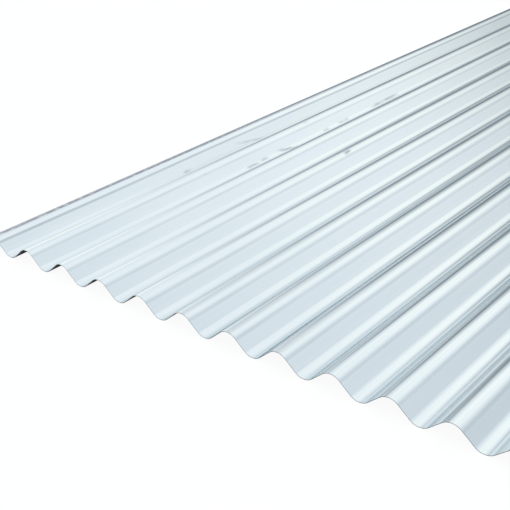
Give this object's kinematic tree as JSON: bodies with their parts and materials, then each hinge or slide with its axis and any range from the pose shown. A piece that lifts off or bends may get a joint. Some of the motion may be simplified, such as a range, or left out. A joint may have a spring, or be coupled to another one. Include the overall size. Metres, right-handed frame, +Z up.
{
  "type": "corrugated metal sheet",
  "caption": "Galvanised steel sheet rolled into round waves along its length, with both side edges turned down, for lapped roofing, cladding and fencing.",
  "frame": {"origin": "under the middle of the sheet, on the plane that its troughs lie on", "axes": "+X across the waves, +Y along the waves and the length, +Z up from troughs to crests"},
  "size_m": [0.8988, 2, 0.0225],
  "materials": {
    "galvanised_steel": "new hot-dip zinc coat, bright and pale blue-grey, with fine drawn streaks along the waves and light handling scuffs"
  },
  "bodies": {
    "root": {"corrugated_sheet": "galvanised_steel"}
  },
  "joints": []
}
